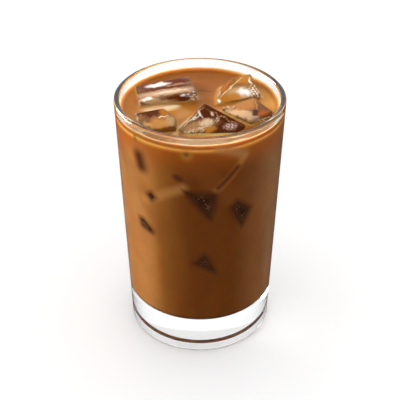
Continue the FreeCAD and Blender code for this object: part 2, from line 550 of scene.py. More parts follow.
LEAN = math.radians(34.0)   # slope of the plane that the spots are laid out on
CLOUD_LIGHT = 0.86          # wet ice shows its spots this much dimmer than they are
CLOUD_DEPTH = 1.15          # and deeper: light goes through the ice twice
WINDOW_INSET = 0.45         # centre of a pressed block, as a share of its depth
WAYS = 900                  # directions tried when the flats of a block are looked for
FLATS = 6                   # flats read from each block
SAME_FLAT = 0.975           # cosine within which faces belong to one flat (13 degrees)
SET_ASIDE = 0.80            # cosine within which faces aren't used again (37 degrees)
SUNK_PAINTED_SHADE = 0.98           # how much of a sunk block's dark finish, a painted shade, covers its clear ice


@dataclass
class IceBlock:
    """A worn block of ice round a centre: flat faces, melted edges, a slight wobble.

    Along a direction the surface lies at (sum of (n.dir / d) ** p) ** (-1 / p) from the
    centre, over the faces that look that way, with n a face's normal, d its distance and p
    the crispness: a larger p gives sharper edges.
    """

    name: str
    centre: np.ndarray
    normals: np.ndarray
    distances: np.ndarray
    crispness: float = 26.0
    wobble: float = 0.012
    seed: int = 1
    detail: int = 6
    sunk: bool = False
    cavity: str = "#8A4A14"
    clouds: tuple[ColourSpot, ...] = ()

    @classmethod
    def from_window(cls, name: str, azimuth: float, height: float, bore: float,
                    corners: Sequence[tuple[float, float]], depth: float = 11.0 * MM,
                    poke: float = 0.8 * MM, flare: float = 18.0, **settings) -> "IceBlock":
        """A block pressed against the wall, whose flat end there has the given corners.

        Every side is a plane through one edge of the end, turned outwards by the flare, so
        that the block widens away from the wall.

        Args:
            name: the piece's name.
            azimuth: degrees round from the front, towards the right.
            height: height of the corners' origin.
            bore: inner radius of the wall there.
            corners: places on the end, in millimetres to the right and up.
            depth: how far the block reaches inwards.
            poke: how far it reaches into the wall.
            flare: the sides' slope in degrees.
            settings: other fields of the block.

        Returns:
            The block.
        """
        out = heading(azimuth, 0.0)
        along = np.array([-out[1], out[0], 0.0])
        rise = np.array([0.0, 0.0, 1.0])
        origin = out * bore + rise * height
        spots = np.array([origin + (x * along + y * rise) * MM for x, y in corners])
        middle = spots.mean(axis=0)
        centre = middle - out * depth * WINDOW_INSET
        ends = np.roll(spots, -1, axis=0)
        side = np.cross(ends - spots, out)
        side /= np.linalg.norm(side, axis=1, keepdims=True)
        side *= np.sign(((spots - middle) * side).sum(axis=1, keepdims=True))
        side = side + out * math.tan(math.radians(flare))
        side /= np.linalg.norm(side, axis=1, keepdims=True)
        normals = np.vstack([side, out, -out])
        distances = np.concatenate([((spots - centre) * side).sum(axis=1),
                                    [depth * WINDOW_INSET + poke, depth * (1 - WINDOW_INSET)]])
        return cls(name, centre, normals, distances, **settings)

    @classmethod
    def from_node(cls, node: str, item: bpy.types.Object, wear: Sequence[tuple] = (),
                  **settings) -> "IceBlock":
        """Reads the broad flats of a CAD block.

        Of many directions spread evenly by the golden angle, the one with most area facing
        within 13 degrees of it is picked. That area gives the flat's mean normal and
        distance, and all that faces within 37 degrees is set aside, six times over.

        Args:
            node: the node's name.
            item: the node's object.
            wear: further flats, each (azimuth, elevation, share): the direction in
                degrees and the distance as a share of the block's reach that way.
            settings: other fields of the block.

        Returns:
            The block.
        """
        mesh = item.data
        mesh.calc_loop_triangles()
        corners = np.empty(len(mesh.loop_triangles) * 3, dtype=int)
        mesh.loop_triangles.foreach_get("vertices", corners)
        triangle = mesh_points(mesh)[corners.reshape(-1, 3)]
        cross = np.cross(triangle[:, 1] - triangle[:, 0], triangle[:, 2] - triangle[:, 0])
        size = np.linalg.norm(cross, axis=1)
        keep = size > 0
        normal, size = cross[keep] / size[keep, None], size[keep]
        middle = triangle[keep].mean(axis=1)
        low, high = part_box(node)
        centre = (np.array(low) + np.array(high)) / 2
        normals, distances = [], []
        turn = np.arange(WAYS) * math.pi * (3 - math.sqrt(5))
        rise = 1 - (2 * np.arange(WAYS) + 1) / WAYS
        flat = np.sqrt(1 - rise ** 2)
        ways = np.stack([flat * np.cos(turn), flat * np.sin(turn), rise], axis=1)
        close = (ways @ normal.T > SAME_FLAT).astype(float)
        left = size.copy()
        for _ in range(FLATS):
            way = ways[np.argmax(close @ left)]
            near = (left > 0) & (normal @ way > SAME_FLAT)
            mean = (normal[near] * size[near, None]).sum(0)
            mean /= np.linalg.norm(mean)
            reach = ((middle[near] - centre) @ mean * size[near]).sum() / size[near].sum()
            normals.append(mean)
            distances.append(reach)
            left[normal @ mean > SET_ASIDE] = 0
        block = cls(node + "_clear", centre, np.array(normals), np.array(distances), **settings)
        for azimuth, elevation, share in wear:
            block.wear(azimuth, elevation, share)
        return block

    def wear(self, azimuth: float, elevation: float, share: float) -> None:
        """Cuts a further flat at a share of the block's reach in that direction."""
        way = heading(azimuth, elevation)
        reach = self.reach(way[None])[0] * share
        self.normals = np.vstack([self.normals, way])
        self.distances = np.append(self.distances, reach)

    def reach(self, way: np.ndarray) -> np.ndarray:
        """Distance from the centre to the surface, by the class's formula, with its wobble.

        Args:
            way: unit directions, one a row.

        Returns:
            The distance along each.
        """
        share = np.clip(way @ self.normals.T / self.distances, 0, None)
        top = share.max(axis=1, keepdims=True)
        total = ((share / top) ** self.crispness).sum(axis=1)
        flat = 1 / (top[:, 0] * total ** (1 / self.crispness))
        return flat * (1 + self.wobble * self.ripple(way))

    def ripple(self, way: np.ndarray) -> np.ndarray:
        """Smooth unevenness between -1 and 1: a mean of sines of turned directions."""
        chance = np.random.default_rng(self.seed)
        turn = chance.normal(size=(3, 6)) * 3.0
        phase = chance.uniform(0, 2 * np.pi, 6)
        return np.sin(way @ turn + phase).mean(axis=1)

    def gap(self, points: np.ndarray) -> np.ndarray:
        """About how far points lie outside the block (negative inside)."""
        offset = points - self.centre
        far = np.linalg.norm(offset, axis=1)
        return far - self.reach(offset / np.maximum(far, 1e-9)[:, None])

    def mesh(self, name: str, shrink: float = 0.0, detail: int = 0) -> bpy.types.Object:
        """An even ball of directions pushed out to the surface.

        Args:
            name: the object's name.
            shrink: how far inside the surface the mesh lies.
            detail: subdivisions of the ball, or 0 for the block's own.

        Returns:
            The new object.
        """
        ball = bmesh.new()
        bmesh.ops.create_icosphere(ball, subdivisions=detail or self.detail, radius=1.0)
        mesh = bpy.data.meshes.new(name)
        ball.to_mesh(mesh)
        ball.free()
        way = mesh_points(mesh)
        way /= np.linalg.norm(way, axis=1, keepdims=True)
        points = self.centre + way * (self.reach(way) - shrink)[:, None]
        mesh.vertices.foreach_set("co", points.ravel())
        mesh.shade_smooth()
        mesh.update()
        piece = bpy.data.objects.new(name, mesh)
        bpy.context.scene.collection.objects.link(piece)
        return piece

    def swell(self, azimuth: float, elevation: float, grow: float) -> None:
        """Moves out the flat that faces most nearly a direction, by grow metres."""
        pick = np.argmax(self.normals @ heading(azimuth, elevation))
        self.distances[pick] += grow

    def frost_and_painted_light(self, points: np.ndarray, level: float) -> np.ndarray:
        """Colour and thickness at each point: the spots laid one over another, trapped air with
        painted highlights and painted shade among them; a sunk block gets a dark painted shade.

        Dots are the mean of five sine waves 1.4 mm long in random directions. The same
        waves, 1.8 and 3.5 times as long, make the spots' outlines uneven.

        Args:
            points: places on the block.
            level: height of the coffee.

        Returns:
            A row of linear light and thickness for each point.
        """
        across = (points[:, 0] - self.centre[0]) / MM
        up = ((points[:, 1] - self.centre[1]) * math.sin(LEAN)
              + (points[:, 2] - level - 2.4 * MM) * math.cos(LEAN)) / MM
        chance = np.random.default_rng(self.seed + 40)
        turn = chance.normal(size=(3, 5))
        turn *= 2 * np.pi / (1.4 * MM) / np.linalg.norm(turn, axis=0)
        dots = np.sin(points @ turn + chance.uniform(0, 2 * np.pi, 5)).mean(axis=1) * 1.6
        blur = np.sin(points @ (turn / 3.5) + 1.0).mean(axis=1)
        fine = np.sin(points @ (turn / 1.8) + 2.0).mean(axis=1) + blur
        colour = np.ones((len(points), 3))
        thick = np.zeros(len(points))
        for cloud in self.clouds:
            part = cloud.weight(across + 0.9 * blur, up + 0.5 * fine, dots)
            total = part + thick * (1 - part)
            share = np.divide(part, total, out=np.zeros_like(part), where=total > 0)
            colour += (np.array(linear(cloud.colour)[:3]) - colour) * share[:, None]
            thick = total
        # A sunk block is painted shade: dark brown for the deep coffee seen through the ice,
        # mottled with paler painted highlights, and plain brown near its sides.
        if self.sunk:
            edge = (self.distances[:-2] - (points - self.centre) @ self.normals[:-2].T)
            edge = ease(-0.6 * MM, 3.4 * MM, edge.min(axis=1))
            colour = lay("#38190A", "#82604A", ease(0.25, 0.9, blur + 0.7 * dots))
            colour = lay("#5A300E", colour, edge)
            thick += SUNK_PAINTED_SHADE
        else:
            colour = CLOUD_LIGHT * colour ** CLOUD_DEPTH
        return np.concatenate([colour, thick[:, None]], axis=1)


@dataclass
class Ice:
    """All the ice: five blocks that float and five pressed against the wall."""

    tumbler: Tumbler
    level: float
    blocks: list[IceBlock] = field(default_factory=list)

    def shape(self, nodes: dict) -> list[IceBlock]:
        """Works out every block, the floating ones from their CAD nodes.

        Args:
            nodes: the frame's objects by node name.

        Returns:
            The blocks, floating ones first.
        """
        for seed, (node, look) in enumerate(FLOATING.items(), start=1):
            block = IceBlock.from_node(node, nodes[node], seed=seed, detail=7,
                                       cavity=look.cavity, clouds=look.clouds)
            for grow in look.swell:
                block.swell(*grow)
            for cut in look.wear:
                block.wear(*cut)
            self.blocks.append(block)
        for seed, (azimuth, height, corners) in enumerate(SUNK, start=1):
            bore = float(self.tumbler.bore(height * MM))
            self.blocks.append(IceBlock.from_window(
                f"ice_sunk_{seed}", azimuth, height * MM, bore, corners, seed=20 + seed,
                sunk=True))
        return self.blocks

    def build(self) -> list[bpy.types.Object]:
        """A fine mesh for each block, with its colour layer."""
        pieces = []
        for block in self.blocks:
            piece = block.mesh(block.name)
            points = mesh_points(piece.data)
            set_colours(piece.data, FROST_AND_PAINTED_LIGHT, block.frost_and_painted_light(points, self.level))
            pieces.append(piece)
        return pieces

    def dress(self, pieces: list[bpy.types.Object]) -> None:
        """Clear ice, in place of the plain ice nodes."""
        clear = ClearIce().make()
        pressed = ClearIce("ice_against_glass", gloss=0.0).make()
        for block, piece in zip(self.blocks, pieces):
            piece.data.materials.append(pressed if block.sunk else clear)
            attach(piece, BODY)
            if not block.sunk:
                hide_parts(block.name.removesuffix("_clear"))
            LOG.info("%s: %d faces", piece.name, len(piece.data.polygons))


@dataclass
class Foam:
    """Loose bubbles caught where the coffee meets the floating ice.

    Each is a ball of 20 triangles; places are spots on a block's surface close to the
    waterline, moved out by a little, and diameters are drawn between two sizes.
    """

    blocks: list[IceBlock]
    level: float
    each: int = 46
    smallest: float = 0.35 * MM
    largest: float = 1.0 * MM
    spread: float = 24.0
    out: float = 0.2 * MM
    above: float = 1.5 * MM
    band: float = 0.6 * MM
    tries: int = 20000
    seed: int = 7

    def build(self) -> bpy.types.Object:
        """All the bubbles as one mesh."""
        ball = bmesh.new()
        bmesh.ops.create_icosphere(ball, subdivisions=1, radius=0.5)
        mesh = bpy.data.meshes.new("ball")
        ball.to_mesh(mesh)
        ball.free()
        shape = mesh_points(mesh)
        corners = np.empty(len(mesh.polygons) * 3, dtype=int)
        mesh.polygons.foreach_get("vertices", corners)
        bpy.data.meshes.remove(mesh)
        chance = np.random.default_rng(self.seed)
        places = []
        for block in self.blocks:
            way = chance.normal(size=(self.tries, 3))
            way /= np.linalg.norm(way, axis=1, keepdims=True)
            spots = block.centre + way * (block.reach(way) + self.out)[:, None]
            near = np.abs(spots[:, 2] - self.level - self.above) < self.band
            round_from_front = np.degrees(np.arctan2(way[:, 0], -way[:, 1]))
            for middle in FOAMY[block.name.removesuffix("_clear")]:
                turn = np.abs((round_from_front - middle + 180) % 360 - 180)
                picked = near & (turn < self.spread * chance.uniform(size=self.tries))
                places.append(spots[picked][:self.each])
        places = np.concatenate(places)
        size = chance.uniform(0, 1, len(places)) ** 2
        size = self.smallest + (self.largest - self.smallest) * size
        points = places[:, None] + shape[None] * size[:, None, None]
        faces = corners.reshape(-1, 3)[None] + np.arange(len(places))[:, None, None] * len(shape)
        return mesh_object("foam_bubbles", points, faces.reshape(-1, 3))

    def dress(self, piece: bpy.types.Object) -> None:
        """A thin skin of milk over air."""
        piece.data.materials.append(FoamSkin().make())
        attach(piece, BODY)


@dataclass(frozen=True)
class IceLook:
    """How one floating block differs from its plain CAD shape.

    swell moves flats out (azimuth, elevation, metres); wear cuts new flats (azimuth,
    elevation, share of the reach).
    """

    cavity: str
    swell: tuple[tuple[float, float, float], ...] = ()
    wear: tuple[tuple[float, float, float], ...] = ()
    clouds: tuple[ColourSpot, ...] = ()


# Where bubbles gather round each block: degrees round from the front, towards the right.
FOAMY = {
    "ice_back_left": (75.0, 100.0, -60.0),
    "ice_front_left": (-110.0, 150.0),
    "ice_middle": (-150.0, 150.0, -60.0),
    "ice_back_right": (-75.0, 60.0),
    "ice_right": (-100.0, 40.0),
}

# Spots on each block: trapped air, bubbles and amber coffee seen through the ice, with painted
# highlights (pure white sparkles, bright ridge lines and corners) and painted shade (dark brown
# where coffee is seen deep through the ice).
FLOATING = {
    "ice_back_left": IceLook(
        cavity="#8A5A30",
        swell=((90, 0, 1.5 * MM),),
        clouds=(
            ColourSpot(0, 0, 30, 20, 0, "#A8764A", 0.45),
            ColourSpot(-2.5, 3.8, 14.5, 2.6, 10, "#6E3418", 0.85),
            ColourSpot(5.5, 5.6, 5.5, 1.8, 10, "#6A301A", 0.92),
            ColourSpot(-4.6, 3.5, 6.4, 1.2, 10, "#F8F0E8", 0.95),
            ColourSpot(4.0, 3.4, 8.5, 0.5, 10, "#B98A70", 0.8),
            ColourSpot(-1, 1.4, 15, 1.0, 10, "#6A3416", 0.88),
            ColourSpot(-1, -1.2, 16, 1.9, 9, "#C9A584", 0.9),
            ColourSpot(3, -0.4, 9, 0.7, 9, "#E8D4C0", 0.7),
            ColourSpot(6.5, -4.0, 7.0, 1.9, 8, "#703604", 0.95),
            ColourSpot(-5, -6.0, 10, 1.8, -1, "#D8B48A", 0.9, 0.2),
            ColourSpot(7.5, -7.0, 6.0, 1.0, 3, "#F0D8B4", 0.9, 0.4),
            ColourSpot(13.2, -3.8, 2.2, 4.0, 20, "#8A5420", 0.85),
            ColourSpot(13.2, -3.8, 2.2, 4.0, 20, "#FFF4E4", 0.95, 0.9),
            # Speckled pure white: painted sparkle highlights.
            ColourSpot(9.5, -3.0, 2.6, 0.9, 0, "#FFFFFF", 0.95, 0.7),
            ColourSpot(-9.5, -5.0, 3.0, 1.1, 15, "#FFFFFF", 0.95, 0.6),
            ColourSpot(-15.0, -1.5, 0.8, 5.0, 8, "#4A200A", 0.85, 0.5),
        )),
    "ice_front_left": IceLook(
        cavity="#A8702C",
        swell=((90, 0, 1.3 * MM),),
        wear=((125, 30, 0.88),),
        clouds=(
            ColourSpot(0, 0, 30, 20, 0, "#A06C34", 0.55),
            ColourSpot(-3, 3.8, 10.5, 2.3, 14, "#592A06", 0.95),
            ColourSpot(-8.5, 1.6, 3.2, 1.5, 10, "#A5764E", 0.88, 0.4),
            ColourSpot(-1.8, 0.6, 3.4, 1.6, 10, "#8A5C38", 0.85, 0.2),
            ColourSpot(3.2, 4.6, 2.4, 2.9, 0, "#AE7028", 0.88),
            ColourSpot(7.4, 4.2, 3.2, 3.0, 0, "#8E6032", 0.88, 0.2),
            ColourSpot(0.4, -2.0, 4.2, 3.2, -20, "#BA8446", 0.85),
            ColourSpot(6.2, -0.8, 3.4, 3.4, 30, "#B99A70", 0.75, 0.2),
            ColourSpot(-4.5, -2.2, 2.6, 1.2, -25, "#C89A62", 0.7),
            ColourSpot(4.7, -1.5, 0.35, 4.0, 0, "#C07418", 0.8),
            ColourSpot(5.4, 7.2, 3.2, 0.5, 5, "#5C4020", 0.85, 0.3),
            ColourSpot(9.8, 4.0, 0.5, 2.4, 20, "#4A3014", 0.8, 0.3),
            ColourSpot(2.8, 1.8, 2.4, 0.35, 12, "#F6DDB4", 0.8, 0.3),
        )),
    "ice_middle": IceLook(
        cavity="#5A2A10",
        swell=((0, 90, 1.2 * MM), (-36, 0, 0.8 * MM), (54, 0, -0.8 * MM)),
        clouds=(
            # Dark brown over the whole block: painted shade of the deep coffee seen through it.
            ColourSpot(2, 1, 30, 20, 0, "#5C2C0C", 0.95),
            ColourSpot(8.5, 1.2, 6.0, 2.0, -25, "#54240C", 0.8),
            ColourSpot(-7.5, -1.4, 10, 3.4, 15, "#B48A60", 0.92, 0.15),
            ColourSpot(-3, 0.8, 3.4, 2.2, 10, "#DEC6A6", 0.9, 0.3),
            ColourSpot(-9.0, -3.2, 6.0, 0.6, 18, "#E6D2B4", 0.7, 0.2),
            ColourSpot(-2.0, -3.0, 3.8, 1.6, 20, "#B87C34", 0.85),
            # Speckled pale spots on the block's upper part: painted sparkle highlights.
            ColourSpot(-6.3, 5.2, 2.6, 0.7, 120, "#F2E4D4", 0.95, 0.5),
            ColourSpot(-9, 2.9, 3.2, 0.7, 30, "#F2E4D4", 0.9, 0.5),
            ColourSpot(-0.8, 5.0, 1.4, 0.7, 120, "#E8D2BA", 0.9, 0.4),
            ColourSpot(2.2, 2.6, 1.9, 0.9, 60, "#E8D4C0", 0.9, 0.7),
            ColourSpot(7.8, -1.2, 3.4, 2.0, 0, "#9A7462", 0.9, 0.2),
            ColourSpot(7.8, -1.2, 3.0, 1.7, 0, "#CDB8B0", 0.8, 0.95),
            ColourSpot(4.3, 3.7, 11.5, 0.4, -27, "#C89A64", 0.7, 0.6),
            ColourSpot(-10.5, 2.6, 8.5, 0.4, 46, "#E2C8A2", 0.8, 0.5),
        )),
    "ice_back_right": IceLook(
        cavity="#A8702C",
        swell=((0, 90, 0.9 * MM), (-90, 0, 1.0 * MM)),
        wear=((-120, 20, 0.93), (-100, 48, 0.86)),
        clouds=(
            ColourSpot(0, 0, 30, 20, 0, "#AE7C40", 0.55),
            ColourSpot(3.4, 5.0, 5.0, 3.2, 20, "#C0843C", 0.85),
            ColourSpot(-1, 1.8, 6.0, 1.5, 14, "#8C5E3C", 0.9, 0.35),
            ColourSpot(1.2, -2.6, 7.5, 4.2, 0, "#D0AE84", 0.75),
            ColourSpot(3.0, -1.8, 3.9, 2.3, 0, "#F6F0EC", 0.95),
            ColourSpot(-4.5, -5.2, 8.0, 3.0, 12, "#B87828", 0.8),
            ColourSpot(-8.2, -1.2, 8.5, 2.0, 50, "#A06020", 0.85),
            # Thin bright line along a ridge: painted highlight.
            ColourSpot(-4, 0.6, 9.5, 0.45, 44, "#EBCF9C", 0.9, 0.5),
            ColourSpot(8.2, -1.6, 4.6, 2.6, 110, "#8A5A2C", 0.85),
            ColourSpot(8.2, -1.6, 4.6, 2.6, 110, "#F4E2CC", 0.95, 0.9),
            ColourSpot(6.3, 4.6, 2.0, 0.7, 115, "#FFEFD4", 0.95, 0.3),
            # Bright corner: painted highlight.
            ColourSpot(-10.5, -7.0, 1.7, 1.5, 0, "#FFF3DC", 0.97),
        )),
    "ice_right": IceLook(
        cavity="#8A5A30",
        swell=((60, 0, 1.2 * MM),),
        clouds=(
            ColourSpot(0, 0, 30, 20, 0, "#A07040", 0.6),
            ColourSpot(-1, 2.2, 10, 3.4, 12, "#B88048", 0.88),
            ColourSpot(8.2, 1.5, 4.6, 5.2, 0, "#7C4A26", 0.9, 0.1),
            ColourSpot(4.9, 2.0, 0.4, 4.0, 0, "#B58A5C", 0.7),
            ColourSpot(-4, -2.4, 7.0, 2.2, -8, "#DCB68C", 0.93, 0.2),
            ColourSpot(1.5, -4.8, 5.0, 2.8, -25, "#C0A07C", 0.88, 0.2),
            ColourSpot(4.0, -2.4, 2.0, 1.9, 0, "#4E2208", 0.97, 0.1),
            ColourSpot(3.4, -5.2, 1.6, 1.4, 0, "#A58C84", 0.85, 0.5),
            ColourSpot(8.0, -2.8, 2.4, 1.9, 0, "#A45A18", 0.9),
            ColourSpot(-11.5, -1.0, 2.0, 0.7, 20, "#5E3210", 0.85, 0.4),
        )),
}

# Sunk blocks: degrees round from the front, height in millimetres, and the corners of the
# flat end in millimetres to the right and up.
SUNK = (
    (0.0, 96.0, ((-7.2, 7.0), (6.8, 5.2), (4.8, -8.6), (1.6, -5.0))),
    (30.0, 88.0, ((-5.0, 3.8), (-1.6, 7.0), (5.2, 0.6), (1.2, -8.4))),
    (-44.0, 76.0, ((-3.6, 2.4), (-0.8, 2.8), (3.8, -1.2), (3.2, -2.8), (-2.2, -1.4))),
    (4.0, 59.0, ((-0.2, 5.6), (-4.8, 0.0), (4.4, -5.6))),
    (-37.0, 95.7, ((-1.8, 0.4), (0.2, 1.9), (1.9, 0.2), (0.2, -1.9))),
)


# --------------------------------------------------------------------------- the coffee


STREAK_RADIUS = 39.0    # millimetres from the axis at which a streak's degrees are measured


@dataclass(frozen=True)
class Streak:
    """A painted line on the coffee against the wall: a paler one is painted light where an ice
    edge near the wall catches it, a darker one is painted shade.

    Places are (degrees round from the front, millimetres up), joined by straight runs.
    """

    places: tuple[tuple[float, float], ...]
    wide: float
    colour: str
    share: float = 0.7

    def lay_on(self, shade: np.ndarray, points: np.ndarray, angle: np.ndarray,
               wall: np.ndarray) -> np.ndarray:
        """Lays the line on, fading with the distance from its nearest run.

        Args:
            shade: the colours so far.
            points: places on the coffee.
            angle: degrees round from the front at each point.
            wall: distance inwards from the wall at each point.

        Returns:
            The new colours.
        """
        radius = np.hypot(points[:, 0], points[:, 1])
        spot = np.stack([np.radians(angle) * radius, points[:, 2]], axis=1) / MM
        line = np.array([(math.radians(a) * STREAK_RADIUS, h) for a, h in self.places])
        far = np.full(len(points), 1e3)
        for start, end in zip(line[:-1], line[1:]):
            run = end - start
            t = np.clip((spot - start) @ run / (run @ run), 0, 1)
            far = np.minimum(far, np.linalg.norm(spot - start - t[:, None] * run, axis=1))
        share = ease(self.wide, 0.0, far) * ease(0.8 * MM, 0.2 * MM, wall)
        return lay(shade, self.colour, share * self.share)


# Spots on the open top: foam and colour marks, with painted shade and painted reflections among
# them.
TOP_MARKS_AND_PAINTED_LIGHT = (
    ColourSpot(0, 24, 34, 14, 0, "#7A420C", 0.55),
    ColourSpot(1, 0, 7, 9, 0, "#7E4A18", 0.5),
    # Two thin dark lines between the back blocks: painted shade of a ripple.
    ColourSpot(3.5, 15.5, 6.5, 0.5, -8, "#5A2E0A", 0.8),
    ColourSpot(1.0, 16.9, 4.0, 0.4, 0, "#63360E", 0.6),
    ColourSpot(-20, -2.6, 9.5, 3.2, 8, "#E2BE92", 0.85),
    ColourSpot(-14, -0.6, 4.5, 1.6, 14, "#EBD0AA", 0.8),
    ColourSpot(-7.5, -20, 14, 2.4, 63, "#DDB27E", 0.85),
    # Dark line beside the pale streak: painted shadow.
    ColourSpot(-4.5, -19, 17, 1.4, 61, "#8A4A10", 0.7),
    # Darker patch in front of ice_right: painted shade under the block.
    ColourSpot(22, -24, 12, 3.6, 30, "#85460E", 0.8),
    ColourSpot(33, 6, 4, 16, 12, "#CC8E3E", 0.75),
    ColourSpot(-34, 3, 3.4, 13, -15, "#A3600E", 0.6),
    # Along the front edge, seen under the rim: a greyish band and two whitish ovals, painted
    # reflections.
    ColourSpot(0, -36, 26, 3.0, 0, "#B08A66", 0.8),
    ColourSpot(-9, -36.5, 5.5, 1.0, -12, "#F0E0D0", 0.9),
    ColourSpot(18, -33, 6.5, 1.3, 28, "#E8D6BE", 0.9),
)

# Pale streaks are painted light, dark ones painted shade.
STREAKS = (
    Streak(((-42, 92.5), (-34, 95.5), (-22.8, 101.0), (-12, 104.5)), 4.6, "#C68A44", 0.9),
    Streak(((-41, 91.5), (-39, 92.5)), 3.4, "#C08A4C", 0.6),
    Streak(((31.5, 120.5), (22.3, 111.3), (11.1, 103.6)), 3.2, "#C27C30", 0.9),
    Streak(((26.5, 115.4), (20.5, 110.5), (12.5, 105.0)), 2.4, "#4E1E04", 0.85),
    Streak(((-45.6, 116.6), (-44.4, 111.4)), 9.0, "#B98045", 0.5),
    Streak(((-46.2, 116.4), (-45.0, 113.8), (-44.0, 111.2)), 6.4, "#561F06", 0.97),
    Streak(((-49.7, 126.4), (-48.5, 125.4)), 1.4, "#4A3018", 0.7),
    Streak(((-9.2, 124.0), (-9.1, 123.9)), 4.8, "#CC8A34", 0.9),
    Streak(((-9.4, 124.4), (-9.0, 124.2)), 1.9, "#5C3A14", 0.85),
    Streak(((-16.5, 111.0), (-14.0, 110.0)), 3.0, "#4A2408", 0.75),
    Streak(((13.0, 127.0), (22.0, 125.0), (31.0, 121.5)), 4.5, "#C08A50", 0.75),
    Streak(((-60.0, 112.0), (-52.0, 98.0), (-50.0, 84.0)), 6.0, "#B98A58", 0.35),
)


@dataclass
class Coffee:
    """The coffee with milk: it reaches just into the wall and climbs a little at every edge."""

    tumbler: Tumbler
    level: float
    blocks: list[IceBlock]
    streaks: tuple[Streak, ...] = STREAKS
    bite: float = 0.15 * MM
    wall_climb: float = 1.9 * MM
    wall_fade: float = 1.8 * MM
    ice_climb: float = 1.0 * MM
    ice_fade: float = 1.4 * MM
    stretch: float = 6.0 * MM
    skin: float = 0.06 * MM
    crease: float = 50.0
    around: int = 360
    side_rings: int = 130

    def surface(self, x: np.ndarray, y: np.ndarray) -> np.ndarray:
        """Height of the open surface.

        It is the level plus a climb that dies away as exp(-distance / fade) from the wall
        and from each block of ice.

        Args:
            x: places to the right.
            y: places to the back.

        Returns:
            The height at each place.
        """
        radius = np.hypot(x, y)
        rim = self.tumbler.bore(self.level) + self.bite
        up = self.level + self.wall_climb * np.exp(-(rim - radius) / self.wall_fade)
        points = np.stack([x.ravel(), y.ravel(), np.full(x.size, self.level)], axis=1)
        for block in [b for b in self.blocks if not b.sunk]:
            away = np.clip(block.gap(points), 0, None).reshape(x.shape)
            up = up + self.ice_climb * np.exp(-away / self.ice_fade)
        return up

    def build(self) -> bpy.types.Object:
        """A closed body: floor, side and open surface as rings about +Z, then the poles."""
        t = self.tumbler
        bottom = soften([
            (0.0, t.base - self.bite, 0.0),
            (t.floor_radius + self.bite, t.base - self.bite, t.floor_round),
            (t.bore(self.level) + self.bite, self.level, 0.0),
        ])[1:]
        start = bottom[bottom[:, 1] < t.base + t.floor_round * 1.2]
        heights = np.linspace(start[-1, 1], self.level, self.side_rings)[1:]
        side = np.stack([t.bore(heights) + self.bite, heights], axis=1)
        rim = t.bore(self.level) + self.bite
        inward = np.concatenate([np.linspace(0, 4.5, 22)[1:], np.linspace(4.5, 38, 52)[1:]]) * MM
        radius = np.concatenate([start[:, 0], side[:, 0], rim - inward])
        closed = len(start) + len(side)
        angle = np.linspace(0, 2 * np.pi, self.around, endpoint=False)
        x, y = radius[:, None] * np.cos(angle), radius[:, None] * np.sin(angle)
        z = np.empty_like(x)
        z[:closed] = np.concatenate([start[:, 1], side[:, 1]])[:, None]
        z[closed:] = self.surface(x[closed:], y[closed:])
        brim = self.surface(x[closed - 1:closed], y[closed - 1:closed])
        stretch = np.clip((z[:closed] - (self.level - self.stretch)) / self.stretch, 0, 1)
        z[:closed] += stretch * (brim - self.level)
        points = np.stack([x, y, z], axis=-1).reshape(-1, 3)
        middle = self.surface(np.zeros((1, 1)), np.zeros((1, 1)))[0, 0]
        poles = np.array([[0, 0, t.base - self.bite], [0, 0, middle]])
        faces = revolve_faces(len(radius), self.around)
        return mesh_object("milky_coffee", np.concatenate([points, poles]), faces)

    def cut(self, piece: bpy.types.Object) -> None:
        """Takes each block, shrunk by the bite, out of the coffee."""
        for block in self.blocks:
            cutter = block.mesh(block.name + "_cutter", self.bite, min(block.detail, 5))
            modifier = piece.modifiers.new("cut", "BOOLEAN")
            modifier.operation = "DIFFERENCE"
            modifier.object = cutter
            modifier.solver = "MANIFOLD"
            whole = bpy.context.evaluated_depsgraph_get()
            made = bpy.data.meshes.new_from_object(piece.evaluated_get(whole))
            piece.modifiers.clear()
            old = piece.data
            piece.data = made
            bpy.data.meshes.remove(old)
            bpy.data.objects.remove(cutter)
        piece.data.name = piece.name

    def tint(self, points: np.ndarray) -> np.ndarray:
        """Colour of the coffee at each point, laid on in turn: side, open top, edges, ice.

        Much of it is painted light and shade: a paler left side towards the key lamp, a sheen
        towards the front of the top, a highlight at the waterline, a dark floor corner and shade
        round the sunk ice.

        Args:
            points: places on the coffee.

        Returns:
            A row of linear light and an alpha of one for each point.
        """
        x, y, z = points.T
        angle = np.degrees(np.arctan2(x, -y))
        wall = self.tumbler.bore(z) + self.bite - np.hypot(x, y)
        above = z - self.level
        inside = ease(0.05 * MM, 0.8 * MM, wall) * ease(-6 * MM, -1 * MM, above)
        halo = 0.5 + 0.5 * np.sin(x / MM * 0.35 + 2.0 * np.sin(y / MM * 0.23))

        # Painted light: paler from just left of the front, round the left side towards the back,
        # where the key lamp lights it.
        painted_lit_side = ease(-8 + z / MM / 20, -42, angle) * ease(175, 140, np.abs(angle))
        shade = lay("#824404", "#B4742C", painted_lit_side)
        # More painted light: paler still from -28 to -68 degrees.
        shade = lay(shade, "#CE9254", ease(-28, -44, angle) * ease(-68, -50, angle) * 0.6)
        # More painted light: paler from -52 to -150 degrees, facing the key lamp.
        shade = lay(shade, "#D2A478", ease(-52, -88, angle) * ease(-150, -100, angle) * 0.65)
        # Painted shade: darker from -88 degrees on towards the back, against the key lamp's light
        # there.
        shade = lay(shade, "#74400A", ease(-88, -118, angle) * 0.7)
        # Painted reflection: paler and greyer round the right side, from 22 to 150 degrees.
        shade = lay(shade, "#C08A58", ease(22, 80, angle) * ease(150, 100, angle) * 0.85)
        swirl = np.sin(angle * 0.09 + z / MM * 0.07 + 1.5 * np.sin(z / MM * 0.045 + 1))
        shade = lay(shade, "#9C5A1C", ease(0.2, 1.0, swirl) * 0.35)
        shade = lay(shade, "#BC6410", ease(-17 * MM, -1 * MM, above) * 0.8)
